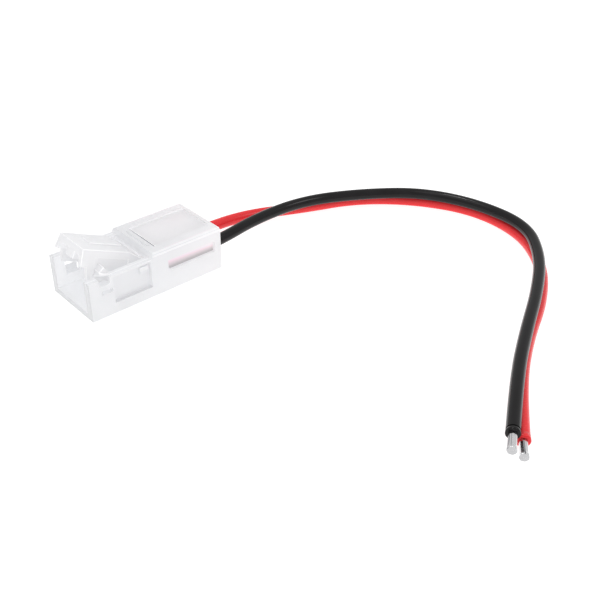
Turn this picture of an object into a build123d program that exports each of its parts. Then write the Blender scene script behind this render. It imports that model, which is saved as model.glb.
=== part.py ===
from build123d import *
import os
from math import pi, radians, tan

# Two-wire connector for an 8 mm light strip.
#
# The strip slides into the open mouth at -X and lies on the tray floor. A hinged flap presses it
# down onto the teeth of two stamped contacts. The contacts are crimped to a black and a red lead,
# which leave through the rear wall at +X. The flap stands open, as it is when a strip is fitted.
#
# Units are millimetres. +Z is up, and the origin is under the middle of the housing. A distance
# along the housing is given from its mouth, and at() turns it into an X value.

# Strip that the connector takes, and the tray round it
strip_width = 8.0
strip_side_gap = 0.1
wall = 1.2
floor_thickness = 1.3
rim_height = 6.35
tray_length = 10.3

# Wire box behind the tray
box_length = 12.1
rear_wall = 1.2
deck_height = 7.05
deck_thickness = 1.25
deck_edge_radius = 0.45
deck_bevel = 0.4
base_edge_chamfer = 0.25
overcut = 1.0

# Recessed panel on each side of the tray
panel_start = 3.9
panel_rear_gap = 0.2
panel_bottom = 1.85
panel_top_gap = 0.3
panel_depth = 0.65

# Long window recess on each side of the wire box
window_front_gap = 2.7
window_rear_gap = 1.1
window_bottom = 3.4
window_height = 1.75
window_depth = 0.6
window_corner = 0.5

# Rib across the deck, in front of the cover
rib_setback = 0.95
rib_width = 0.45
rib_height = 0.15
rib_inset = 0.6

# Cover of the wire box, in its seat in the deck
cover_setback = 2.0
cover_rear_gap = 0.7
cover_side_margin = 0.8
cover_thickness = 0.7
cover_sink = 0.12
cover_gap = 0.08
cover_front_gap = 0.3
cover_ledge = 0.6
cover_corner = 0.3
clamp_clearance = 0.1
clamp_length = 2.2

# Leads. A bend takes its share of the shorter run beside it
wire_diameter = 1.8
conductor_diameter = 1.1
wire_height = 2.75
wire_inset = 1.75
wire_clearance = 0.08
insulation_depth = 5.2
core_length = 2.7
tip_length = 2.75
tip_rim_radius = 0.64
tip_rim_length = 0.35
bend_share = 0.45

# Saddle under the leads at the rear, and the spine between them
saddle_length = 4.0
spine_setback = 2.6
spine_gap = 0.2
spine_height = 4.2

# Flap, drawn closed and then turned open
open_angle = 24.5
hinge_setback = 1.15
hinge_height = 5.0
flap_overhang = 0.4
flap_rear_gap = 1.9
flap_top = 6.8
flap_plate = 1.1
flap_side_gap = 0.5
flap_draft = 0.5
flap_draft_depth = 2.4
flap_lip = 0.9
skirt_thickness = 0.6
skirt_bottom = 2.5
leg_front = 1.1
leg_back = 4.6
knuckle_radius = 1.15
boss_radius = 0.95
trunnion_radius = 0.6
hinge_clearance = 0.06
side_clearance = 0.12
socket_depth = 0.35
socket_end_gap = 0.1

# Presser rib under the flap, and the bar across it
presser_half = 0.9
presser_setback = 0.27
presser_depth = 2.3
bar_setback = 2.85
bar_width = 0.6
bar_side_gap = 0.4
bar_bottom = 3.4

# Thumb rib on top of the flap
thumb_start = 2.0
thumb_half = 0.9
thumb_height = 0.2

# Shallow step along the lower part of the flap's skirts
step_start = 1.7
step_drop = 1.05
step_depth = 0.2

# Latch barbs on the flap
barb_distance = 2.85
barb_height = 4.1
barb_half = 0.8
barb_apex_offset = -0.3
barb_apex_rise = 0.85
barb_tail = 1.1
barb_edge = 0.19
barb_plate_gap = 0.7
barb_catch_gap = 0.45

# Seats for the barbs in the side walls: groove, notch and slot, each reaching past the barb
groove_front = 1.2
groove_rear = 1.05
groove_drop = 1.18
groove_skin = 0.3
notch_front = 1.2
notch_rear = 0.6
notch_depth = 1.15
notch_radius = 0.5
latch_front = 0.85
latch_rear = 0.9
latch_drop = 0.25
latch_rise = 0.37

# Hinge pads on the recessed panels
pad_length = 1.4
pad_height = 1.0
pad_rise = 0.35

# Stamped contacts
metal = 0.25
contact_width = 1.2
contact_start = 5.2
grip_gap = 0.35
grip_length = 0.7
crimp_gap = 0.95
crimp_length = 1.7
crimp_clearance = 0.02
crimp_seam = 0.12
joggle_gap = 1.1
joggle_length = 1.4
tooth_offsets = (0.3, 1.7)
tooth_base = 0.9
tooth_rise = 1.5
peg_setback = 1.6
peg_radius = 0.35
peg_rise = 0.45
peg_clearance = 0.05

# Places worked out from the sizes above: half widths from the middle plane
inner_half = strip_width / 2 + strip_side_gap
half_width = inner_half + wall
wire_side = strip_width / 2 - wire_inset
socket_half = inner_half + socket_depth
panel_floor_half = half_width - panel_depth
window_floor_half = half_width - window_depth
groove_floor_half = half_width - groove_skin
cover_half = inner_half - cover_side_margin
seat_half = cover_half + cover_gap
opening_half = seat_half - cover_ledge
flap_half_bottom = inner_half - flap_side_gap
flap_half_top = flap_half_bottom - flap_draft
wire_radius = wire_diameter / 2
wire_hole_radius = wire_radius + wire_clearance
core_radius = conductor_diameter / 2
crimp_bore = core_radius + crimp_clearance
grip_bore = wire_radius + crimp_clearance
spine_half = wire_side - grip_bore - metal - spine_gap

# Distances from the mouth
housing_length = tray_length + box_length
half_length = housing_length / 2
cavity_end = housing_length - rear_wall
panel_end = tray_length - panel_rear_gap
window_start = tray_length + window_front_gap
window_end = housing_length - window_rear_gap
rib_start = tray_length + rib_setback
cover_start = tray_length + cover_setback
cover_end = housing_length - cover_rear_gap
seat_start = cover_start - cover_front_gap
seat_end = cover_end + cover_gap
opening_end = seat_end - cover_ledge
insulation_start = housing_length - insulation_depth
saddle_start = housing_length - saddle_length
grip_end = saddle_start - grip_gap
grip_start = grip_end - grip_length
crimp_end = grip_start - crimp_gap
crimp_start = crimp_end - crimp_length
joggle_end = crimp_start - joggle_gap
joggle_start = joggle_end - joggle_length
peg_distance = joggle_start - peg_setback
hinge_distance = tray_length - hinge_setback
flap_front = -flap_overhang
flap_back = hinge_distance - flap_rear_gap
bar_start = hinge_distance - bar_setback

# Heights
deck_underside = deck_height - deck_thickness
cover_top = deck_height - cover_sink
cover_bottom = cover_top - cover_thickness
notch_bottom = rim_height - notch_depth
flap_bend = flap_top - flap_draft_depth
plate_underside = flap_top - flap_plate


def at(distance):
    """X of a place that lies this far behind the mouth."""
    return distance - half_length


# Routes of the leads as they lie, from the inner end of the insulation to its outer end
black_route = [
    (at(insulation_start), -wire_side, wire_height),
    (12.5, -wire_side, wire_height),
    (22.3, -0.1, 2.88),
    (32.4, -0.2, 2.74),
    (41.4, -4.8, 2.72),
    (49.2, -11.1, 2.74),
    (52.9, -20.5, 2.76),
    (52.6, -30.8, 2.82),
    (45.6, -38.2, 2.96),
    (37.2, -43.6, 2.92),
    (28.3, -48.2, 2.82),
    (19.7, -53.2, 2.69),
    (11.4, -58.7, 2.45),
]
red_route = [
    (at(insulation_start), wire_side, wire_height),
    (12.4, wire_side, wire_height),
    (22.6, 3.9, 1.78),
    (32.3, 0.4, 1.12),
    (42.0, -2.9, wire_radius),
    (49.4, -10.1, wire_radius),
    (53.9, -19.4, wire_radius),
    (52.8, -29.7, wire_radius),
    (46.7, -38.1, wire_radius),
    (38.3, -43.9, wire_radius),
    (29.0, -48.2, wire_radius),
    (20.3, -53.5, wire_radius),
    (12.4, -59.8, wire_radius),
]


def box_between(start, end, low, high, near, far, mode=Mode.ADD):
    """A block between two distances from the mouth, two heights and two Y values."""
    with BuildSketch(Plane.XY.offset(low)) as footprint:
        with Locations((at((start + end) / 2), (near + far) / 2)):
            Rectangle(end - start, far - near)
    extrude(footprint.sketch, amount=high - low, mode=mode)


def block_across(start, end, low, high, half, mode=Mode.ADD):
    """A block across the middle plane, as wide on both sides of it."""
    box_between(start, end, low, high, -half, half, mode)


def blocks_on_sides(start, end, low, high, near, far, mode=Mode.ADD):
    """The same block on both sides, between two distances from the middle plane."""
    box_between(start, end, low, high, near, far, mode)
    box_between(start, end, low, high, -far, -near, mode)


def profile_on_sides(points, near, far, mode=Mode.ADD):
    """A side profile on both sides, between two distances from the middle plane."""
    for side in (-1, 1):
        with BuildSketch(Plane.XZ.offset(side * near)) as profile:
            with BuildLine():
                Polyline(*points, close=True)
            make_face()
        extrude(profile.sketch, amount=side * (far - near), mode=mode)


def discs_on_sides(radius, near, far, mode=Mode.ADD):
    """A disc about the hinge on both sides, between two distances from the middle plane."""
    for side in (-1, 1):
        with BuildSketch(Plane.XZ.offset(side * near)) as disc:
            with Locations((at(hinge_distance), hinge_height)):
                Circle(radius)
        extrude(disc.sketch, amount=side * (far - near), mode=mode)


def channel_section(distance, half_top, half_bottom, top, bend):
    """A cross-section at a distance from the mouth: it widens from its top to the bend, then stays."""
    with BuildSketch(Plane.YZ.offset(at(distance))) as section:
        with BuildLine():
            Polyline(
                (-half_top, top),
                (-half_bottom, bend),
                (-half_bottom, 0),
                (half_bottom, 0),
                (half_bottom, bend),
                (half_top, top),
                close=True,
            )
        make_face()
    return section.sketch


# Base housing
with BuildPart() as base_housing:
    # Outer form of the strip tray
    with BuildSketch(Plane.YZ.offset(at(0))):
        Rectangle(2 * half_width, rim_height, align=(Align.CENTER, Align.MIN))
    extrude(amount=tray_length)
    # Outer form of the wire box, its two long top edges rounded
    with BuildSketch(Plane.YZ.offset(at(tray_length))) as box_section:
        Rectangle(2 * half_width, deck_height, align=(Align.CENTER, Align.MIN))
        fillet(box_section.vertices().group_by(Axis.Y)[-1], deck_edge_radius)
    extrude(amount=box_length)
    chamfer(base_housing.edges().group_by(Axis.Z)[0], base_edge_chamfer)
    # Bevel on the front edge of the deck
    with BuildSketch(Plane.XZ):
        with BuildLine():
            Polyline(
                (at(tray_length), rim_height),
                (at(tray_length), deck_height + overcut),
                (at(tray_length + deck_bevel), deck_height + overcut),
                (at(tray_length + deck_bevel), deck_height),
                close=True,
            )
        make_face()
    extrude(amount=half_width, both=True, mode=Mode.SUBTRACT)
    # Tray, and the hollow under the deck, cut with one side profile
    with BuildSketch(Plane.XZ):
        with BuildLine():
            Polyline(
                (at(-overcut), floor_thickness),
                (at(cavity_end), floor_thickness),
                (at(cavity_end), deck_underside),
                (at(tray_length), deck_underside),
                (at(tray_length), deck_height + overcut),
                (at(-overcut), deck_height + overcut),
                close=True,
            )
        make_face()
    extrude(amount=inner_half, both=True, mode=Mode.SUBTRACT)
    # Seat for the cover of the wire box, and the opening inside its ledge
    block_across(seat_start, seat_end, cover_bottom, deck_height, seat_half, Mode.SUBTRACT)
    block_across(seat_start, opening_end, deck_underside, deck_height, opening_half, Mode.SUBTRACT)
    # Spine between the leads
    block_across(tray_length + spine_setback, cavity_end, floor_thickness, spine_height, spine_half)
    # Saddle under the leads, with their grooves and the holes in the rear wall
    block_across(saddle_start, cavity_end, floor_thickness, wire_height, inner_half)
    with BuildSketch(Plane.YZ.offset(at(saddle_start))):
        with Locations((wire_side, wire_height), (-wire_side, wire_height)):
            Circle(wire_hole_radius)
    extrude(amount=saddle_length, mode=Mode.SUBTRACT)
    # Rib across the deck, in front of the cover
    rib_half = cover_half - rib_inset
    block_across(rib_start, rib_start + rib_width, deck_height, deck_height + rib_height, rib_half)
    # Recessed panels and long windows in both sides
    panel_top = rim_height - panel_top_gap
    blocks_on_sides(
        panel_start, panel_end, panel_bottom, panel_top, panel_floor_half, half_width, Mode.SUBTRACT
    )
    window_top = window_bottom + window_height
    window_outline = [
        (at(window_start), window_bottom + window_corner),
        (at(window_start), window_top),
        (at(window_end), window_top),
        (at(window_end), window_bottom),
        (at(window_start + window_corner), window_bottom),
    ]
    profile_on_sides(window_outline, window_floor_half, half_width, Mode.SUBTRACT)
    # Grooves that the barbs run in, the notches they rest in when open and the slots they snap into
    blocks_on_sides(
        barb_distance - groove_front,
        barb_distance + groove_rear,
        barb_height - groove_drop,
        rim_height,
        inner_half,
        groove_floor_half,
        Mode.SUBTRACT,
    )
    blocks_on_sides(
        barb_distance - latch_front,
        barb_distance + latch_rear,
        barb_height - latch_drop,
        barb_height + latch_rise,
        groove_floor_half,
        half_width,
        Mode.SUBTRACT,
    )
    with BuildSketch(Plane.XZ) as notch_section:
        with Locations((at(barb_distance - notch_front), notch_bottom)):
            Rectangle(notch_front + notch_rear, rim_height, align=(Align.MIN, Align.MIN))
        fillet(notch_section.vertices().group_by(Axis.Y)[0], notch_radius)
    extrude(amount=half_width, both=True, mode=Mode.SUBTRACT)
    # Hinge pads on the panels, and the blind sockets behind them
    blocks_on_sides(
        hinge_distance - pad_length / 2,
        hinge_distance + pad_length / 2,
        hinge_height - pad_height / 2,
        hinge_height + pad_height / 2,
        panel_floor_half,
        panel_floor_half + pad_rise,
    )
    discs_on_sides(trunnion_radius + hinge_clearance, inner_half, socket_half, Mode.SUBTRACT)
    # Pegs that hold the contacts
    with BuildSketch(Plane.XY.offset(floor_thickness)):
        with Locations((at(peg_distance), wire_side), (at(peg_distance), -wire_side)):
            Circle(peg_radius)
    extrude(amount=peg_rise)
base_housing.part.label = "base_housing"

# Cover of the wire box
clamp_inner = spine_half + clamp_clearance
clamp_outer = opening_half - clamp_clearance
clamp_end = opening_end - clamp_clearance
clamp_start = clamp_end - clamp_length

with BuildPart() as wire_cover:
    with BuildSketch(Plane.XY.offset(cover_bottom)):
        with Locations((at((cover_start + cover_end) / 2), 0)):
            RectangleRounded(cover_end - cover_start, 2 * cover_half, cover_corner)
    extrude(amount=cover_thickness)
    # Clamps that press the leads into their saddles
    clamp_bottom = wire_height + clamp_clearance
    blocks_on_sides(clamp_start, clamp_end, clamp_bottom, cover_bottom, clamp_inner, clamp_outer)
    with BuildSketch(Plane.YZ.offset(at(clamp_start))):
        with Locations((wire_side, wire_height), (-wire_side, wire_height)):
            Circle(wire_hole_radius)
    extrude(amount=clamp_length, mode=Mode.SUBTRACT)
wire_cover.part.label = "wire_cover"

# Flap over the tray, first drawn closed
hinge_axis = Axis((at(hinge_distance), 0, hinge_height), (0, 1, 0))
flap_reach = hinge_distance + knuckle_radius - flap_front

with BuildPart() as closed_flap:
    # Side outline, as wide as the widest part
    with BuildSketch(Plane.XZ):
        with BuildLine():
            Polyline(
                (at(flap_front), flap_top),
                (at(flap_front), flap_bend),
                (at(flap_front + flap_lip), flap_bend),
                (at(leg_front), skirt_bottom),
                (at(leg_back), skirt_bottom),
                (at(hinge_distance), hinge_height - knuckle_radius),
                (at(hinge_distance), hinge_height + knuckle_radius),
                (at(flap_back), flap_top),
                close=True,
            )
        make_face()
        with Locations((at(hinge_distance), hinge_height)):
            Circle(knuckle_radius)
    extrude(amount=flap_half_bottom, both=True)
    # Drafted cross-section, and the channel between the skirts
    flap_section = channel_section(flap_front, flap_half_top, flap_half_bottom, flap_top, flap_bend)
    extrude(flap_section, amount=flap_reach, mode=Mode.INTERSECT)
    channel_top_half = flap_half_top - skirt_thickness
    channel_bottom_half = flap_half_bottom - skirt_thickness
    channel = channel_section(flap_front, channel_top_half, channel_bottom_half, plate_underside, flap_bend)
    extrude(channel, amount=flap_reach, mode=Mode.SUBTRACT)
    # Shallow step along the outside of the skirts, following their draft
    step_top = flap_top - step_drop
    step_half_top = flap_half_top + (flap_half_bottom - flap_half_top) * step_drop / flap_draft_depth
    for side in (-1, 1):
        with BuildSketch(Plane.YZ.offset(at(step_start))):
            with BuildLine():
                Polyline(
                    (side * half_width, step_top),
                    (side * (step_half_top - step_depth), step_top),
                    (side * (flap_half_bottom - step_depth), flap_bend),
                    (side * (flap_half_bottom - step_depth), 0),
                    (side * half_width, 0),
                    close=True,
                )
            make_face()
        extrude(amount=flap_back - step_start, mode=Mode.SUBTRACT)
    # Presser rib along the middle, and the bar across it
    presser_front = flap_front + presser_setback
    block_across(presser_front, bar_start, flap_top - presser_depth, plate_underside, presser_half)
    bar_half = flap_half_bottom - skirt_thickness - bar_side_gap
    block_across(bar_start, bar_start + bar_width, bar_bottom, plate_underside, bar_half)
    # Thumb rib on top
    block_across(thumb_start, flap_back, flap_top, flap_top + thumb_height, thumb_half)
    # Barbs: a pointed plate, and below its shoulders a catch that tapers downwards
    barb_root_half = flap_half_bottom - skirt_thickness / 2
    barb_plate_half = half_width - barb_plate_gap
    barb_catch_half = half_width - barb_catch_gap
    barb_outline = [
        (at(barb_distance - barb_half), barb_height),
        (at(barb_distance + barb_apex_offset), barb_height + barb_apex_rise),
        (at(barb_distance + barb_half), barb_height),
    ]
    profile_on_sides(barb_outline, barb_root_half, barb_plate_half)
    for side in (-1, 1):
        with BuildSketch(Plane.YZ.offset(at(barb_distance - barb_half))):
            with BuildLine():
                Polyline(
                    (side * barb_root_half, barb_height),
                    (side * barb_catch_half, barb_height),
                    (side * barb_catch_half, barb_height - barb_edge),
                    (side * barb_root_half, barb_height - barb_tail),
                    close=True,
                )
            make_face()
        extrude(amount=2 * barb_half)
    # Bosses beside the knuckles, and the trunnions
    discs_on_sides(boss_radius, flap_half_bottom, inner_half - side_clearance)
    discs_on_sides(trunnion_radius, flap_half_bottom, socket_half - socket_end_gap)

with BuildPart() as strip_flap:
    add(closed_flap.part.rotate(hinge_axis, open_angle))
strip_flap.part.label = "strip_flap"


def make_contact(side):
    """A stamped contact: flat strip with teeth, joggle, crimp and insulation grip."""
    middle = side * wire_side
    crimp_bottom = wire_height - crimp_bore - metal
    grip_bottom = wire_height - grip_bore - metal
    with BuildPart() as contact:
        # Strip with its joggles, in side profile
        with BuildSketch(Plane.XZ.offset(-middle)):
            with BuildLine():
                Polyline(
                    (at(contact_start), floor_thickness),
                    (at(joggle_start), floor_thickness),
                    (at(joggle_end), crimp_bottom),
                    (at(crimp_end), crimp_bottom),
                    (at(grip_start) - metal, grip_bottom),
                    (at(grip_end), grip_bottom),
                    (at(grip_end), grip_bottom + metal),
                    (at(grip_start) - metal, grip_bottom + metal),
                    (at(crimp_end), crimp_bottom + metal),
                    (at(joggle_end), crimp_bottom + metal),
                    (at(joggle_start), floor_thickness + metal),
                    (at(contact_start), floor_thickness + metal),
                    close=True,
                )
            make_face()
        extrude(amount=contact_width / 2, both=True)
        # Hole over the peg of the housing
        with BuildSketch(Plane.XY.offset(floor_thickness)):
            with Locations((at(peg_distance), middle)):
                Circle(peg_radius + peg_clearance)
        extrude(amount=metal, mode=Mode.SUBTRACT)
        # Teeth folded up from both edges of the strip
        for offset in tooth_offsets:
            start = contact_start + offset
            for edge in (-1, 1):
                tooth_face = middle + edge * (contact_width / 2 - metal / 2)
                with BuildSketch(Plane.XZ.offset(-tooth_face)):
                    with BuildLine():
                        Polyline(
                            (at(start), floor_thickness),
                            (at(start + tooth_base / 2), floor_thickness + metal + tooth_rise),
                            (at(start + tooth_base), floor_thickness),
                            close=True,
                        )
                    make_face()
                extrude(amount=metal / 2, both=True)
        # Crimp round the conductor and grip round the insulation, each with its seam on top
        for start, end, bore in ((crimp_start, crimp_end, crimp_bore), (grip_start, grip_end, grip_bore)):
            with BuildSketch(Plane.YZ.offset(at(start))):
                with Locations((middle, wire_height)):
                    Circle(bore + metal)
            extrude(amount=end - start)
            with BuildSketch(Plane.YZ.offset(at(start))):
                with Locations((middle, wire_height)):
                    Circle(bore)
                with Locations((middle, wire_height + bore)):
                    Rectangle(crimp_seam, 4 * metal)
            extrude(amount=end - start, mode=Mode.SUBTRACT)
    return contact


black_contact = make_contact(-1)
black_contact.part.label = "black_contact"
red_contact = make_contact(1)
red_contact.part.label = "red_contact"


def make_core(side):
    """The stripped inner end of a lead's conductor, held in its crimp."""
    with BuildPart() as core:
        with BuildSketch(Plane.YZ.offset(at(insulation_start))):
            with Locations((side * wire_side, wire_height)):
                Circle(core_radius)
        extrude(amount=-core_length)
    return core


black_core = make_core(-1)
black_core.part.label = "black_core"
red_core = make_core(1)
red_core.part.label = "red_core"


def bend_radii(route):
    """The radius of each bend: as large as its two runs allow."""
    points = [Vector(*point) for point in route]
    runs = [end - start for start, end in zip(points, points[1:])]
    radii = []
    for before, after in zip(runs, runs[1:]):
        half_turn = radians(before.get_angle(after)) / 2
        radii.append(bend_share * min(before.length, after.length) / tan(half_turn))
    return radii


def make_wire(route):
    """The insulation of a lead along its route, as a plain tube."""
    radii = bend_radii(route)
    with BuildPart() as wire:
        with BuildLine() as path:
            FilletPolyline(*route, radius=radii)
        with BuildSketch(Plane(path.line @ 0, z_dir=path.line % 0)):
            Circle(wire_radius)
        sweep(path=path.line)
    length = sum(edge.length for edge in path.edges())
    ratio = wire.part.volume / (pi * wire_radius**2 * length)
    print("bend radii", [round(radius, 1) for radius in radii])
    print("length", round(length, 2), "volume over section times length", round(ratio, 5))
    return wire


def make_tip(route):
    """The stripped and tinned outer end of a lead's conductor."""
    end = Vector(*route[-1])
    direction = (end - Vector(*route[-2])).normalized()
    with BuildPart() as tip:
        with BuildSketch(Plane(end, z_dir=direction)):
            Circle(core_radius)
        extrude(amount=tip_length)
        with BuildSketch(Plane(end + direction * (tip_length - tip_rim_length), z_dir=direction)):
            Circle(tip_rim_radius)
        extrude(amount=tip_rim_length)
    return tip


black_wire = make_wire(black_route)
black_wire.part.label = "black_wire"
red_wire = make_wire(red_route)
red_wire.part.label = "red_wire"
black_tip = make_tip(black_route)
black_tip.part.label = "black_tip"
red_tip = make_tip(red_route)
red_tip.part.label = "red_tip"

os.makedirs("parts", exist_ok=True)
export_step(base_housing.part, "parts/base_housing.step")
export_step(wire_cover.part, "parts/wire_cover.step")
export_step(strip_flap.part, "parts/strip_flap.step")
export_step(black_contact.part, "parts/black_contact.step")
export_step(red_contact.part, "parts/red_contact.step")
export_step(black_core.part, "parts/black_core.step")
export_step(red_core.part, "parts/red_core.step")
export_step(black_wire.part, "parts/black_wire.step")
export_step(red_wire.part, "parts/red_wire.step")
export_step(black_tip.part, "parts/black_tip.step")
export_step(red_tip.part, "parts/red_tip.step")
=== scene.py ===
from functools import cached_property
from math import cos, pi, radians, sin

import bmesh
import bpy
from mathutils import Matrix, Vector


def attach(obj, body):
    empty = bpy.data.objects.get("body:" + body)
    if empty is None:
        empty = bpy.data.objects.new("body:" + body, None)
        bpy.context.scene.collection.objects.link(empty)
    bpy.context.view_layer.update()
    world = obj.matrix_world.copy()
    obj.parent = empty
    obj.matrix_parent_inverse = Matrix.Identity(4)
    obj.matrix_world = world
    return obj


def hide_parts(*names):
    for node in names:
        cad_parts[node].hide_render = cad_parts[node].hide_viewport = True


# Two-wire connector for an 8 mm light strip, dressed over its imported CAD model.
# Lengths are in metres, in the part's own frame: +X from the mouth to the leads, +Z up.
# Routes and turned profiles are lists in millimetres.

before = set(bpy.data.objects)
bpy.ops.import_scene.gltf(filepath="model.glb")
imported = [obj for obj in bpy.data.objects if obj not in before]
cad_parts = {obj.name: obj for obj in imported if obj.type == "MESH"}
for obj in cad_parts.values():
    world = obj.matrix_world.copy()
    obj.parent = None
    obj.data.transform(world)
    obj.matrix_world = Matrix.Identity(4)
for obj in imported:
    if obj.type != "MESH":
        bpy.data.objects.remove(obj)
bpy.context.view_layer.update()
MM = 0.001

# Camera, fitted to the photograph's edges of the housing
EYE = Vector((-59.180, -102.386, 74.604)) * MM
YAW = radians(-41.642)
PITCH = radians(33.932)
ROLL = radians(0.484)
FOCAL_PIXELS = 925
FRAME_PIXELS = 600
SENSOR = 36
NEAR_CLIP = 5 * MM
FAR_CLIP = 10.0

# Leads: the route's points are those of part.py, moved a little to follow the photograph
WIRE_RADIUS = 0.9 * MM
LEAD_SPREAD = 2.25 * MM
LEAD_HEIGHT = 2.75 * MM
CORE_START_X = 6.0 * MM
BLACK_ROUTE = [
    (6.0, -2.25, 2.75),
    (12.5, -2.25, 2.75),
    (22.0, -0.6, 2.88),
    (31.9, -0.9, 2.74),
    (40.8, -5.3, 2.72),
    (48.6, -11.4, 2.74),
    (52.7, -20.4, 2.76),
    (52.9, -30.4, 2.82),
    (46.4, -37.7, 2.96),
    (38.3, -43.1, 2.92),
    (29.6, -47.8, 2.82),
    (21.0, -52.9, 2.69),
    (12.45, -59.0, 2.34),
]
RED_ROUTE = [
    (6.0, 2.25, 2.75),
    (12.4, 2.25, 2.75),
    (22.2, 3.1, 1.78),
    (31.8, -0.3, 1.12),
    (41.3, -3.5, 0.9),
    (48.8, -10.4, 0.9),
    (53.6, -19.4, 0.9),
    (53.1, -29.4, 0.9),
    (47.5, -37.6, 0.9),
    (39.4, -43.4, 0.9),
    (30.2, -47.8, 0.9),
    (21.5, -53.3, 0.9),
    (13.75, -59.72, 0.95),
]

# Turned forms at the leads' ends: distance along the lead, radius
TIP_PROFILE = [
    (0.0, 0.56),
    (0.4, 0.555),
    (0.8, 0.56),
    (1.2, 0.565),
    (1.6, 0.57),
    (2.0, 0.58),
    (2.3, 0.6),
    (2.5, 0.635),
    (2.65, 0.64),
    (2.75, 0.6),
]
CORE_PROFILE = [(0.0, 0.52), (0.9, 0.5), (1.8, 0.5), (2.6, 0.5), (2.7, 0.46)]
STRANDS = 7
STRAND_GROOVE = 0.05
STRAND_TWIST = 0.06
STEPS_PER_STRAND = 12
STEPS_AROUND = 48

# The insulation's last stretch, pinched and flared where it was cut: distance from the cut, radius
COLLAR_LENGTH = 0.75 * MM
BLACK_CUT = [(-0.8, 0.6), (-0.78, 0.85), (-0.55, 0.855), (-0.46, 0.92), (-0.1, 0.93), (0.0, 0.86)]
RED_CUT = [(-0.86, 0.6), (-0.84, 0.935), (-0.1, 0.945), (0.0, 0.88)]

# Places on the CAD forms that the painted shade, light and glows go by. A half is measured from the middle
# plane, and a hair is how far the mask of a flat face reaches to either side of it
HAIR = 0.02 * MM
MOUTH_X = -11.2 * MM
TRAY_FLOOR_Z = 1.3 * MM
INNER_HALF = 4.1 * MM
HALF_WIDTH = 5.3 * MM
PANEL_FLOOR_HALF = HALF_WIDTH - 0.65 * MM
PANEL_REAR_X = -1.1 * MM
PANEL_BOTTOM_Z = 1.85 * MM
PANEL_TOP_Z = 6.05 * MM
PANEL_TOP_LINE = 0.15 * MM
PAD_FACE_HALF = PANEL_FLOOR_HALF + 0.35 * MM
PAD_HIGHLIGHT_Z = 4.9 * MM
WINDOW_FLOOR_HALF = HALF_WIDTH - 0.6 * MM
WINDOW_FRONT_X = 1.8 * MM
WINDOW_REAR_X = 10.1 * MM
WINDOW_GREY_Z = 3.6 * MM
WINDOW_PINK_Z = 4.6 * MM
COVER_FRONT_X = 1.1 * MM
COVER_HALF = 3.3 * MM
COVER_SEAT_HALF = COVER_HALF + 0.08 * MM
DECK_UNDERSIDE_Z = 5.8 * MM
DECK_Z = 7.05 * MM
GAP_FADE_Y = -1.0 * MM
REAR_START_X = 2.0 * MM
REAR_END_X = 11.0 * MM
BARB_SEAT_X = -8.4 * MM
BARB_SEAT_REACH = 1.25 * MM
BARB_SEAT_BOTTOM_Z = 2.9 * MM

# The same on the flap, along it and up from it as it stands open
OPEN_ANGLE = radians(24.5)
FLAP_STEP_FRONT = -10.7 * MM
FLAP_STEP_TOP = 4.4 * MM
FLAP_PLATE_HALF = 3.0 * MM
FLAP_SLOPE_FRONT = -5.7 * MM

# Colours, in linear light. A pair runs from clear to deep, or from the front to the rear
WHITE = (1, 1, 1, 1)
HOUSING = ((0.883, 0.886, 0.896, 1), (0.903, 0.906, 0.915, 1))
HOUSING_REAR = (0.955, 0.955, 0.962, 1)
# Painted shade on the walls' cut ends at the mouth
WALL_END_SHADE = (0.765, 0.77, 0.775, 1)
# Painted shade on the tray's floor
TRAY_FLOOR_SHADE = (0.85, 0.855, 0.865, 1)
# Painted shade on the panels and their ledges, and a painted highlight on the pads
PANEL_SHADE = (0.87, 0.872, 0.882, 1)
PANEL_LEDGE_SHADOW = (0.74, 0.735, 0.75, 1)
PAD_HIGHLIGHT = (0.96, 0.96, 0.965, 1)
# Painted pink light and grey shade, seen through the windows' thin floors
WINDOW_PINK_LIGHT = ((0.9, 0.76, 0.82, 1), (0.995, 0.865, 0.91, 1))
WINDOW_GREY_SHADE = ((0.52, 0.5, 0.51, 1), (0.56, 0.535, 0.54, 1))
COVER = ((0.947, 0.943, 0.952, 1), (0.96, 0.955, 0.964, 1))
# Painted shade in the gap before the cover
COVER_GAP_SHADE = (0.38, 0.38, 0.4, 1)
FLAP = ((0.89, 0.89, 0.898, 1), (0.91, 0.91, 0.918, 1))
# Painted shade on the flap's step and rear slope
FLAP_SHADE = (0.875, 0.875, 0.883, 1)
# Painted highlight and shade on the rounded edges
EDGE_HIGHLIGHT = (0.96, 0.96, 0.965, 1)
EDGE_DULL_SHADE = (0.91, 0.91, 0.918, 1)
BLACK_PVC = ((0.009, 0.0085, 0.009, 1), (0.013, 0.012, 0.013, 1))
RED_PVC = ((0.9, 0.035, 0.042, 1), (0.84, 0.03, 0.036, 1))
PLATING = ((0.95, 0.945, 0.935, 1), (0.9, 0.895, 0.885, 1))
COPPER = ((0.75, 0.42, 0.28, 1), (0.62, 0.33, 0.2, 1))
TIN = (0.78, 0.78, 0.79, 1)
# Painted dark reflections along the tinned strands
TIN_DARK_REFLECTION = (0.2, 0.2, 0.21, 1)
TIN_CUT = ((0.56, 0.56, 0.57, 1), (0.52, 0.52, 0.53, 1))
TABLE = ((0.34, 0.34, 0.34, 1), (0.38, 0.38, 0.38, 1))

# Share of the light that the milky plastic lets through, and the painted glow that it gives off to lift its
# shade and draw highlights
PLASTIC_IOR = 1.5
MILKINESS = 0.5
GLOW = 0.05
INNER_GLOW = 0.155
SEAT_GLOW_SHARE = 0.1
LINE_GLOW = 0.34
SEAM_GLOW_SHARE = 0.5
EDGE_GLOW = 0.5
EDGE_SHADE = 0.09
GLINT_DIRECTION = (-0.25, -0.64, 0.725)
TABLE_GLOW = 0.9

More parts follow.
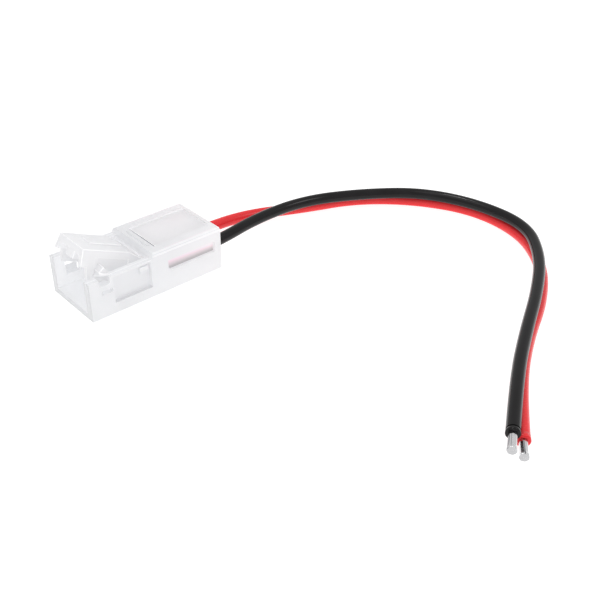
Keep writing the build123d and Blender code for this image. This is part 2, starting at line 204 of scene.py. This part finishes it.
# Noise sizes, in waves a metre
GRAIN = 5200.0
METAL_GRAIN = 9000.0
PVC_GRAIN = 6500.0
PATCH = 1500.0
CLOUD = 260.0
EDGE_CLOUD = 700.0
FLOW = 420.0
TIN_LINES = 2600.0
TABLE_CLOUD = 8.0

# Edges: how far they are rounded, and how much of a turn counts as sharp, curved or flat
HOUSING_ROUNDING = 0.1 * MM
COVER_ROUNDING = 0.08 * MM
FLAP_ROUNDING = 0.09 * MM
CONTACT_ROUNDING = 0.03 * MM
SAME_PLACE = 0.001 * MM
SHARP_TURN = radians(30)
CURVED_TURN = radians(1)
FLAT_TURN = radians(0.5)

# Studio. A lamp has its place, the point that it faces, its size in metres and its power in watts
SURROUND_STRENGTH = 0.7
LAMPS = {
    "edge_lamp": ((0.15, -0.19, 0.26), (0, 0, 0), 0.12, 0.12),
    "top_lamp": ((-0.12, 0.02, 0.4), (0, 0, 0), 0.3, 0.2),
    "line_lamp": ((0.06, 0.1, 0.4), (0.03, -0.02, 0), 0.04, 0.14),
}
FLOOR_HALF = 3.0
FLOOR_DROP = 0.02 * MM


def new_piece(name, data, body, slot_name, material, *nodes):
    """Links an object that rides on a body and stands for the CAD nodes named."""
    piece = bpy.data.objects.new(name, data)
    bpy.context.scene.collection.objects.link(piece)
    piece.data.materials.append(material)
    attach(piece, body)
    if nodes:
        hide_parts(*nodes)
    return piece


def place_camera():
    """The camera at the photograph's viewing angle."""
    back = Vector((sin(YAW) * cos(PITCH), -cos(YAW) * cos(PITCH), sin(PITCH)))
    level_right = Vector((cos(YAW), sin(YAW), 0))
    level_up = back.cross(level_right)
    right = cos(ROLL) * level_right + sin(ROLL) * level_up
    up = cos(ROLL) * level_up - sin(ROLL) * level_right
    data = bpy.data.cameras.new("camera")
    data.sensor_width = SENSOR
    data.lens = FOCAL_PIXELS / FRAME_PIXELS * SENSOR
    data.clip_start = NEAR_CLIP
    data.clip_end = FAR_CLIP
    camera = bpy.data.objects.new("camera", data)
    bpy.context.scene.collection.objects.link(camera)
    turn = Matrix((right, up, back)).transposed().to_4x4()
    camera.matrix_world = Matrix.Translation(EYE) @ turn
    bpy.context.scene.camera = camera


# Materials


class Surface:
    """A material, with short ways to add the nodes that the surfaces here share."""

    def __init__(self, name):
        self.material = bpy.data.materials.new(name)
        self.material.use_nodes = True
        self.tree = self.material.node_tree
        self.shader = self.tree.nodes["Principled BSDF"]
        coordinates = self.tree.nodes.new("ShaderNodeTexCoord").outputs
        self.place = coordinates["Object"]
        self.normal = coordinates["Normal"]

    def fill(self, socket, value):
        """Links a socket to another one, or gives it a value of its own."""
        if isinstance(value, bpy.types.NodeSocket):
            self.tree.links.new(value, socket)
        else:
            socket.default_value = value

    def node(self, kind, **inputs):
        made = self.tree.nodes.new(kind)
        for name, value in inputs.items():
            self.fill(made.inputs[name.replace("_", " ")], value)
        return made

    def set(self, **inputs):
        """Fills the main shader's sockets."""
        for name, value in inputs.items():
            self.fill(self.shader.inputs[name.replace("_", " ")], value)

    def noise(self, scale, detail, vector=None):
        made = self.node("ShaderNodeTexNoise", Vector=vector or self.place, Scale=scale, Detail=detail)
        return made.outputs["Fac"]

    def between(self, value, low, high, to_low, to_high):
        """A range of a value drawn over another range, and level outside it."""
        made = self.node("ShaderNodeMapRange", Value=value, From_Min=low, From_Max=high,
                         To_Min=to_low, To_Max=to_high)
        return made.outputs["Result"]

    def mix(self, factor, first, second):
        """A colour between two others."""
        made = self.tree.nodes.new("ShaderNodeMix")
        made.data_type = "RGBA"
        sockets = {socket.identifier: socket for socket in (*made.inputs, *made.outputs)}
        self.fill(sockets["Factor_Float"], factor)
        self.fill(sockets["A_Color"], first)
        self.fill(sockets["B_Color"], second)
        return sockets["Result_Color"]

    def math(self, operation, first, second=0.0):
        made = self.tree.nodes.new("ShaderNodeMath")
        made.operation = operation
        for socket, value in zip(made.inputs, (first, second)):
            self.fill(socket, value)
        return made.outputs["Value"]

    def vector_math(self, operation, first, second):
        made = self.tree.nodes.new("ShaderNodeVectorMath")
        made.operation = operation
        for socket, value in zip(made.inputs, (first, second)):
            self.fill(socket, value)
        return made.outputs

    @cached_property
    def axes(self):
        """The object's X, Y and Z."""
        return self.node("ShaderNodeSeparateXYZ", Vector=self.place).outputs

    @cached_property
    def half(self):
        """How far a place lies from the middle plane, on either side of it."""
        return self.math("ABSOLUTE", self.axes["Y"])

    def along(self, vector, direction):
        """How far a vector reaches along a direction."""
        return self.vector_math("DOT_PRODUCT", vector, direction)["Value"]

    def rises(self, value, start, end):
        """Zero below a range of a value and one above it."""
        return self.between(value, start, end, 0.0, 1.0)

    def falls(self, value, start, end):
        """One below a range of a value and zero above it."""
        return self.between(value, start, end, 1.0, 0.0)

    def band(self, value, low, high, soft):
        """One between two values and zero outside them, with soft ends."""
        return self.all_of(self.rises(value, low - soft, low), self.falls(value, high, high + soft))

    def at_plane(self, value, place):
        """One on a flat face that lies at a place along an axis."""
        return self.band(value, place - HAIR, place + HAIR, HAIR)

    def all_of(self, *masks):
        """The product of several masks."""
        product = masks[0]
        for mask in masks[1:]:
            product = self.math("MULTIPLY", product, mask)
        return product

    def any_of(self, *masks):
        """The largest of several masks."""
        largest = masks[0]
        for mask in masks[1:]:
            largest = self.math("MAXIMUM", largest, mask)
        return largest

    def let_through(self, colour, share):
        """Lets a share of the light through the surface, spread out evenly."""
        through = self.node("ShaderNodeBsdfTranslucent", Color=colour)
        both = self.tree.nodes.new("ShaderNodeMixShader")
        both.inputs["Fac"].default_value = share
        self.tree.links.new(self.shader.outputs["BSDF"], both.inputs[1])
        self.tree.links.new(through.outputs["BSDF"], both.inputs[2])
        self.tree.links.new(both.outputs["Shader"], self.tree.nodes["Material Output"].inputs["Surface"])

    def bump(self, height, strength, distance):
        made = self.node("ShaderNodeBump", Height=height, Strength=strength, Distance=distance)
        self.tree.links.new(made.outputs["Normal"], self.shader.inputs["Normal"])


# Tints: each takes the surface and its colour so far, and gives the colour toned at some place. Most of them
# paint shade, light or highlights into it


def window_floor(surface):
    """One on the thin floors of the long windows."""
    behind_front = surface.rises(surface.axes["X"], WINDOW_FRONT_X - 0.1 * MM, WINDOW_FRONT_X)
    return surface.all_of(surface.at_plane(surface.half, WINDOW_FLOOR_HALF), behind_front)


def panel_floor(surface):
    """One on the floors of the recessed panels."""
    before_rear = surface.falls(surface.axes["X"], PANEL_REAR_X, PANEL_REAR_X + 0.1 * MM)
    return surface.all_of(surface.at_plane(surface.half, PANEL_FLOOR_HALF), before_rear)


def between_walls(surface):
    """One inside the tray and the wire box, up to the walls' inner faces."""
    return surface.falls(surface.half, INNER_HALF + HAIR, INNER_HALF + 0.05 * MM)


def window_light_and_shade_tint(surface, base):
    """Painted in: the inside seen through the thin floors of the long windows, pink light above and grey
    shade below.
    """
    rise = surface.rises(surface.axes["Z"], WINDOW_GREY_Z, WINDOW_PINK_Z)
    run = surface.rises(surface.axes["X"], WINDOW_FRONT_X + 0.2 * MM, WINDOW_REAR_X - 0.6 * MM)
    toned = surface.mix(rise, surface.mix(run, *WINDOW_GREY_SHADE), surface.mix(run, *WINDOW_PINK_LIGHT))
    return surface.mix(window_floor(surface), base, toned)


def end_shade_tint(surface, base):
    """Painted shade: the walls' cut ends at the mouth are darker."""
    ends = surface.falls(surface.axes["X"], MOUTH_X + 0.08 * MM, MOUTH_X + 0.12 * MM)
    return surface.mix(ends, base, WALL_END_SHADE)


def rear_tint(surface, base):
    """The closed rear half, a little brighter towards its end."""
    run = surface.between(surface.axes["X"], REAR_START_X, REAR_END_X, 0.0, 0.6)
    return surface.mix(run, base, HOUSING_REAR)


def floor_shade_tint(surface, base):
    """Painted shade on the tray's floor, where less light gathers than on the walls."""
    floor = surface.at_plane(surface.axes["Z"], TRAY_FLOOR_Z)
    return surface.mix(surface.all_of(floor, between_walls(surface)), base, TRAY_FLOOR_SHADE)


def panel_shade_tint(surface, base):
    """Painted shade and highlight on the recessed panels: darker than the sides, darkest on the ledges below,
    with pale hinge pads as painted highlights.
    """
    ledge_shadow = surface.all_of(
        surface.at_plane(surface.axes["Z"], PANEL_BOTTOM_Z),
        surface.band(surface.half, PANEL_FLOOR_HALF + 0.05 * MM, HALF_WIDTH - 0.05 * MM, HAIR),
    )
    pad_highlight = surface.all_of(
        surface.at_plane(surface.half, PAD_FACE_HALF),
        surface.band(surface.axes["Z"], PAD_HIGHLIGHT_Z, PANEL_TOP_Z, HAIR),
        surface.falls(surface.axes["X"], PANEL_REAR_X - 0.1 * MM, PANEL_REAR_X),
    )
    toned = surface.mix(panel_floor(surface), base, PANEL_SHADE)
    toned = surface.mix(pad_highlight, toned, PAD_HIGHLIGHT)
    return surface.mix(ledge_shadow, toned, PANEL_LEDGE_SHADOW)


def gap_shade_tint(surface, base):
    """Painted shade on the cover's front face, dark in its gap on the near side and fading towards the far
    side.
    """
    front = surface.falls(surface.axes["X"], COVER_FRONT_X + HAIR, COVER_FRONT_X + 2 * HAIR)
    near = surface.between(surface.axes["Y"], GAP_FADE_Y, COVER_HALF, 1.0, 0.4)
    return surface.mix(surface.all_of(front, near), base, COVER_GAP_SHADE)


def flap_shade_tint(surface, base):
    """Painted shade on the shallow step of the flap's skirts and on its rear slope, a little darker."""
    run = surface.along(surface.place, (cos(OPEN_ANGLE), 0, -sin(OPEN_ANGLE)))
    rise = surface.along(surface.place, (sin(OPEN_ANGLE), 0, cos(OPEN_ANGLE)))
    step = surface.all_of(
        surface.rises(run, FLAP_STEP_FRONT - 0.1 * MM, FLAP_STEP_FRONT),
        surface.falls(rise, FLAP_STEP_TOP, FLAP_STEP_TOP + 0.1 * MM),
        surface.rises(surface.half, FLAP_PLATE_HALF - 0.1 * MM, FLAP_PLATE_HALF),
    )
    slope = surface.rises(run, FLAP_SLOPE_FRONT - 0.2 * MM, FLAP_SLOPE_FRONT)
    return surface.mix(surface.any_of(step, slope), base, FLAP_SHADE)


# Painted glows: each gives one where the plastic gets a glow that lifts its shade or draws a highlight


def inner_glow(surface):
    """One inside the housing and on the floors of its thin recesses: a painted glow, standing in for light
    that comes from all sides.
    """
    along, height = surface.axes["X"], surface.axes["Z"]
    in_tray = surface.falls(along, PANEL_REAR_X - 0.05 * MM, PANEL_REAR_X)
    below_deck = surface.falls(height, DECK_UNDERSIDE_Z + 0.05 * MM, DECK_UNDERSIDE_Z + 0.55 * MM)
    above_floor = surface.band(height, TRAY_FLOOR_Z - HAIR, DECK_Z - 0.15 * MM, HAIR)
    inside = surface.all_of(between_walls(surface), above_floor, surface.any_of(in_tray, below_deck))
    around_barb = surface.all_of(
        surface.falls(surface.half, HALF_WIDTH - 0.1 * MM, HALF_WIDTH - 0.05 * MM),
        surface.band(along, BARB_SEAT_X - BARB_SEAT_REACH, BARB_SEAT_X + BARB_SEAT_REACH, HAIR),
        surface.rises(height, BARB_SEAT_BOTTOM_Z - 0.05 * MM, BARB_SEAT_BOTTOM_Z),
    )
    faint = surface.math("MULTIPLY", around_barb, SEAT_GLOW_SHARE)
    return surface.any_of(inside, faint, window_floor(surface))


def painted_highlight_lines(surface):
    """One along painted highlight lines: where the deck's sides round over, beside the cover, under the rim.
    """
    height = surface.axes["Z"]
    rise = surface.along(surface.normal, (0, 0, 1))
    sideways = surface.math("ABSOLUTE", surface.along(surface.normal, (0, 1, 0)))
    foot = surface.band(rise, 0.15, 0.35, 0.1)
    crest = surface.band(rise, 0.9, 0.97, 0.03)
    rounding = surface.all_of(surface.any_of(foot, crest), surface.rises(sideways, 0.1, 0.2))
    seam = surface.all_of(
        surface.at_plane(surface.half, COVER_SEAT_HALF),
        surface.band(height, DECK_Z - 0.25 * MM, DECK_Z - 0.03 * MM, 0.01 * MM),
    )
    faint_seam = surface.math("MULTIPLY", seam, SEAM_GLOW_SHARE)
    top_line = surface.rises(height, PANEL_TOP_Z - PANEL_TOP_LINE, PANEL_TOP_Z - PANEL_TOP_LINE + 2 * HAIR)
    return surface.any_of(rounding, faint_seam, surface.all_of(panel_floor(surface), top_line))


def floor_bounce_glow(surface):
    """One where the surface faces the floor: a painted glow for the light that the floor throws back at it.
    """
    return surface.falls(surface.along(surface.normal, (0, 0, 1)), -0.6, -0.2)


def milky_plastic(name, colours, tints=(), inner=None, lines=None):
    """Clear plastic gone milky: half of the light goes through, the surface has faint moulding marks, and a
    painted glow lifts its shade.
    """
    surface = Surface(name)
    cloud = surface.noise(CLOUD, 3.0)
    base = surface.mix(surface.rises(cloud, 0.3, 0.7), *colours)
    for tint in tints:
        base = tint(surface, base)
    surface.set(Base_Color=base, IOR=PLASTIC_IOR)
    grain = surface.noise(GRAIN, 4.0)
    stretched = surface.node("ShaderNodeMapping", Vector=surface.place, Scale=(0.5, 1.0, 1.0))
    flow = surface.noise(FLOW, 2.0, stretched.outputs["Vector"])
    surface.set(Roughness=surface.between(surface.math("ADD", grain, flow), 0.6, 1.4, 0.26, 0.34))
    surface.bump(grain, 0.03, 0.01 * MM)
    glow = GLOW / (1 - MILKINESS)
    if inner:
        glow = surface.between(inner(surface), 0.0, 1.0, glow, INNER_GLOW / (1 - MILKINESS))
    if lines:
        line_glow = surface.between(lines(surface), 0.0, 1.0, 0.0, LINE_GLOW / (1 - MILKINESS))
        glow = surface.any_of(glow, line_glow)
    surface.set(Emission_Color=base, Emission_Strength=glow)
    surface.let_through(base, MILKINESS)
    return surface.material


def rounded_edge_glint(name, colour, shade_colour):
    """The same plastic on a rounded edge, with a painted highlight and glow where it faces up and to the near
    side, and painted shade elsewhere.
    """
    surface = Surface(name)
    glint = surface.rises(surface.along(surface.normal, GLINT_DIRECTION), 0.6, 0.9)
    cloud = surface.between(surface.noise(EDGE_CLOUD, 3.0), 0.3, 0.7, 0.0, 0.3)
    shaded = surface.mix(cloud, shade_colour, colour)
    surface.set(Base_Color=surface.mix(glint, shaded, colour), IOR=PLASTIC_IOR)
    surface.set(Roughness=surface.between(surface.noise(GRAIN, 4.0), 0.3, 0.7, 0.16, 0.26))
    low, high = EDGE_SHADE / (1 - MILKINESS), EDGE_GLOW / (1 - MILKINESS)
    surface.set(Emission_Color=WHITE, Emission_Strength=surface.between(glint, 0.0, 1.0, low, high))
    surface.let_through(colour, MILKINESS)
    return surface.material


def soft_pvc(name, colours, roughness, sheen):
    """Extruded insulation: faint patches and grain, with a satin sheen."""
    surface = Surface(name)
    patch = surface.noise(FLOW, 3.0)
    base = surface.mix(surface.rises(patch, 0.35, 0.75), *colours)
    grain = surface.noise(PVC_GRAIN, 3.0)
    surface.set(Base_Color=base, IOR=PLASTIC_IOR, Specular_IOR_Level=sheen)
    surface.set(Roughness=surface.between(grain, 0.3, 0.7, *roughness))
    surface.bump(grain, 0.12, 0.01 * MM)
    return surface.material


def tinned_metal(name, colours, roughness):
    """Metal with a thin solder or tin coat, a little uneven and dull."""
    surface = Surface(name)
    patch = surface.noise(PATCH, 4.0)
    base = surface.mix(surface.rises(patch, 0.3, 0.7), *colours)
    grain = surface.noise(METAL_GRAIN, 3.0)
    surface.set(Base_Color=base, Metallic=1.0)
    surface.set(Roughness=surface.between(grain, 0.3, 0.7, *roughness))
    surface.bump(surface.math("ADD", grain, patch), 0.25, 0.02 * MM)
    return surface.material


def drawn_tin(name, direction):
    """The tinned strands: bright metal with painted dark reflections as lines along the lead's end, and a
    flat grey cut face.
    """
    surface = Surface(name)
    run = surface.along(surface.place, direction)
    length_part = surface.node("ShaderNodeCombineXYZ")
    for axis, share in zip("XYZ", direction):
        surface.fill(length_part.inputs[axis], surface.math("MULTIPLY", run, share))
    round_part = surface.vector_math("SUBTRACT", surface.place, length_part.outputs["Vector"])["Vector"]
    bright = surface.rises(surface.noise(TIN_LINES, 1.0, round_part), 0.34, 0.42)
    wall = surface.mix(bright, TIN_DARK_REFLECTION, TIN)
    cut = surface.rises(surface.along(surface.normal, direction), 0.8, 0.9)
    face = surface.mix(surface.rises(surface.noise(PATCH, 3.0), 0.3, 0.7), *TIN_CUT)
    surface.set(Base_Color=surface.mix(cut, wall, face), Metallic=surface.between(cut, 0.0, 1.0, 1.0, 0.5))
    surface.set(Roughness=surface.between(surface.noise(METAL_GRAIN, 3.0), 0.3, 0.7, 0.16, 0.3))
    return surface.material


def pale_floor(name):
    """A matt white table, so bright that it carries hardly any shade."""
    surface = Surface(name)
    cloud = surface.noise(TABLE_CLOUD, 2.0)
    surface.set(Base_Color=surface.mix(cloud, *TABLE))
    surface.set(Roughness=0.9, Emission_Color=WHITE, Emission_Strength=TABLE_GLOW)
    return surface.material


# Moulded and stamped pieces: the CAD forms with their edges rounded


def softened(name, node, body, slot_name, material, edge_material, width, segments=2):
    """Adds a copy of a CAD node, which stands for it, with outer edges rounded and inner corners crisp."""
    mesh = bpy.data.meshes.new(name)
    form = bmesh.new()
    form.from_mesh(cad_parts[node].data)
    bmesh.ops.remove_doubles(form, verts=form.verts, dist=SAME_PLACE)
    bmesh.ops.dissolve_limit(form, angle_limit=FLAT_TURN, verts=form.verts, edges=form.edges)
    bmesh.ops.recalc_face_normals(form, faces=form.faces)
    rounding = form.edges.layers.float.new("bevel_weight_edge")
    for edge in form.edges:
        turn = edge.calc_face_angle_signed() if edge.is_manifold else 0.0
        if turn > SHARP_TURN:
            edge[rounding] = 1.0
        elif turn < -SHARP_TURN:
            edge.smooth = False
    for face in form.faces:
        turns = [edge.calc_face_angle(0.0) for edge in face.edges]
        face.smooth = any(CURVED_TURN < turn < SHARP_TURN for turn in turns)
    form.to_mesh(mesh)
    form.free()
    piece = new_piece(name, mesh, body, slot_name, material, node)
    mesh.materials.append(edge_material)
    edges = piece.modifiers.new("rounded_edges", "BEVEL")
    edges.width = width
    edges.segments = segments
    edges.limit_method = "WEIGHT"
    edges.material = 1
    edges.use_clamp_overlap = True
    evened = piece.modifiers.new("even_shading", "WEIGHTED_NORMAL")
    evened.weight = 100
    evened.keep_sharp = True


# Leads


def lead(name, route, end, direction, slot_name, material, node):
    """A lead as one smooth curve along its route, up to where the cut end's collar takes over."""
    places = [Vector(place) * MM for place in route[:-1]] + [end - direction * COLLAR_LENGTH]
    curve = bpy.data.curves.new(name, "CURVE")
    curve.dimensions = "3D"
    spline = curve.splines.new("NURBS")
    spline.points.add(len(places) - 1)
    for point, place in zip(spline.points, places):
        point.co = (*place, 1)
    spline.order_u = 3
    spline.use_endpoint_u = True
    spline.resolution_u = 16
    spline.use_smooth = True
    curve.bevel_depth = WIRE_RADIUS
    curve.bevel_resolution = 8
    curve.use_fill_caps = True
    return new_piece(name, curve, "housing", slot_name, material, node)


def turned(name, start, direction, profile, slot_name, material, *nodes, strands=0):
    """A closed round form about a line. With strands, its section has a groove between each two."""
    around = STEPS_PER_STRAND * strands if strands else STEPS_AROUND
    side = direction.orthogonal().normalized()
    other = direction.cross(side)
    form = bmesh.new()
    rings = []
    for distance, radius in profile:
        ring = []
        for step in range(around):
            angle = 2 * pi * step / around
            depth = 0.0
            if strands:
                depth = STRAND_GROOVE * (1 - abs(sin(strands * (angle + STRAND_TWIST * distance) / 2)))
            out = (side * cos(angle) + other * sin(angle)) * radius * (1 - depth)
            ring.append(form.verts.new(start + (direction * distance + out) * MM))
        rings.append(ring)
    for near, far in zip(rings, rings[1:]):
        for step in range(around):
            following = (step + 1) % around
            form.faces.new((near[step], near[following], far[following], far[step]))
    form.faces.new(reversed(rings[0]))
    form.faces.new(rings[-1])
    bmesh.ops.recalc_face_normals(form, faces=form.faces)
    for face in form.faces:
        face.smooth = len(face.verts) == 4
    mesh = bpy.data.meshes.new(name)
    form.to_mesh(mesh)
    form.free()
    return new_piece(name, mesh, "housing", slot_name, material, *nodes)


def dressed_lead(colour, side, route, cut_profile, insulation, copper):
    """A lead, its cut end, its tinned strands and the bare strands in its crimp."""
    end = Vector(route[-1]) * MM
    direction = (end - Vector(route[-2]) * MM).normalized()
    tin = drawn_tin(f"{colour}_lead_tin", direction)
    strands = turned(
        f"{colour}_strands", end, direction, TIP_PROFILE, "tinned_copper", tin, f"{colour}_tip",
        strands=STRANDS,
    )
    slot_name = f"{colour}_insulation"
    cord = lead(f"{colour}_lead", route, end, direction, slot_name, insulation, f"{colour}_wire")
    collar = turned(f"{colour}_collar", end, direction, cut_profile, slot_name, insulation)
    core_start = Vector((CORE_START_X, side * LEAD_SPREAD, LEAD_HEIGHT))
    turned(
        f"{colour}_inner_strands", core_start, Vector((-1, 0, 0)), CORE_PROFILE, "bare_copper", copper,
        f"{colour}_core", strands=STRANDS,
    )


# Studio


def area_light(name, place, target, size, power):
    data = bpy.data.lights.new(name, "AREA")
    data.shape = "DISK"
    data.size = size
    data.energy = power
    light = bpy.data.objects.new(name, data)
    bpy.context.scene.collection.objects.link(light)
    light.location = place
    light.rotation_euler = (Vector(target) - Vector(place)).to_track_quat("-Z", "Y").to_euler()


def studio():
    """A pale floor, an even white surround and soft lamps."""
    world = bpy.data.worlds.new("surround")
    bpy.context.scene.world = world
    world.use_nodes = True
    background = world.node_tree.nodes["Background"]
    background.inputs["Color"].default_value = WHITE
    background.inputs["Strength"].default_value = SURROUND_STRENGTH
    for name, lamp in LAMPS.items():
        area_light(name, *lamp)
    mesh = bpy.data.meshes.new("floor")
    corners = [(x * FLOOR_HALF, y * FLOOR_HALF, 0) for x, y in ((-1, -1), (1, -1), (1, 1), (-1, 1))]
    mesh.from_pydata(corners, [], [(0, 1, 2, 3)])
    floor = bpy.data.objects.new("floor", mesh)
    bpy.context.scene.collection.objects.link(floor)
    floor.location = (0, 0, -FLOOR_DROP)
    mesh.materials.append(pale_floor("floor_white"))


place_camera()
bpy.context.scene.view_settings.view_transform = "Standard"

# The housing's tints, most of them painted shade and light
housing_tints = (rear_tint, window_light_and_shade_tint, end_shade_tint, panel_shade_tint, floor_shade_tint)
housing_plastic = milky_plastic("housing_milky", HOUSING, housing_tints, inner_glow, painted_highlight_lines)
cover_plastic = milky_plastic("cover_milky", COVER, (gap_shade_tint,))
flap_plastic = milky_plastic("flap_milky", FLAP, (flap_shade_tint,), floor_bounce_glow)
edge_glint_plastic = rounded_edge_glint("edge_glint_milky", EDGE_HIGHLIGHT, EDGE_DULL_SHADE)
black_pvc = soft_pvc("black_pvc", BLACK_PVC, (0.13, 0.2), 0.22)
red_pvc = soft_pvc("red_pvc", RED_PVC, (0.2, 0.3), 0.3)
plate = tinned_metal("contact_plating", PLATING, (0.4, 0.55))
bare_copper = tinned_metal("bare_copper", COPPER, (0.25, 0.4))

softened(
    "housing_shell", "base_housing", "housing", "housing_plastic", housing_plastic, edge_glint_plastic,
    HOUSING_ROUNDING,
)
softened("cover_plate", "wire_cover", "housing", "cover_plastic", cover_plastic, edge_glint_plastic, COVER_ROUNDING)
softened("pressing_flap", "strip_flap", "flap", "flap_plastic", flap_plastic, edge_glint_plastic, FLAP_ROUNDING)
for colour in ("black", "red"):
    softened(
        f"{colour}_contact_plate", f"{colour}_contact", "housing", "contact_metal", plate, plate,
        CONTACT_ROUNDING, segments=1,
    )

dressed_lead("black", -1, BLACK_ROUTE, BLACK_CUT, black_pvc, bare_copper)
dressed_lead("red", 1, RED_ROUTE, RED_CUT, red_pvc, bare_copper)

studio()
